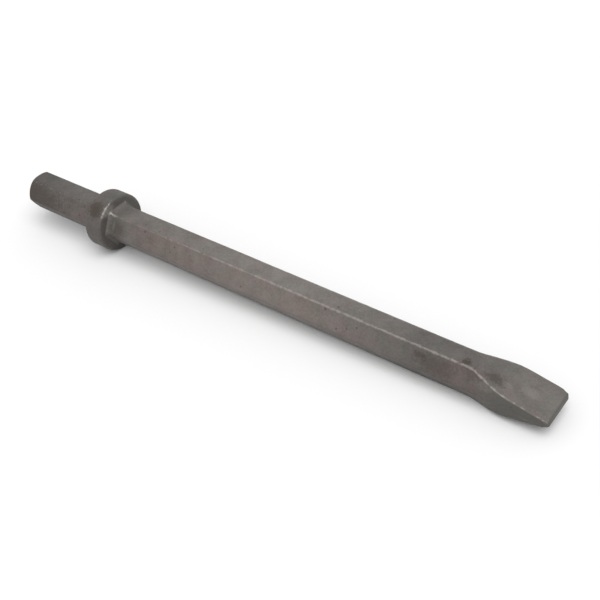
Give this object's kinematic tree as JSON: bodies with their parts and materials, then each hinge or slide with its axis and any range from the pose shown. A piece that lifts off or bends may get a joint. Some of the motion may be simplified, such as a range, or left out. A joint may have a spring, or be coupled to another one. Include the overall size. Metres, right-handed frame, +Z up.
{
  "type": "collared chisel",
  "caption": "Forged hexagon chisel for a breaker hammer: crowned striking end, plain shank, round stop collar, long hexagon bar and a flat wedge blade with a blunt straight edge.",
  "frame": {"origin": "middle of the flat striking face at the shank's end", "axes": "+X along the tool from the striking face to the cutting edge; +Z up, square to a flat of the hexagon and to the blade's broad faces; Y across the blade"},
  "size_m": [0.49, 0.0466, 0.0466],
  "materials": {
    "forged_steel": "as forged: dull dark grey mill scale with faint brown staining, arrises worn brighter",
    "blade_steel": "drawn out and hammered: brownish grey scale with small pits, the ridge rubbed bright"
  },
  "bodies": {
    "root": {"striking_end": "forged_steel", "shank": "forged_steel", "collar": "forged_steel", "neck": "forged_steel", "bar": "forged_steel", "blade": "blade_steel", "cutting_edge": "blade_steel"}
  },
  "joints": []
}
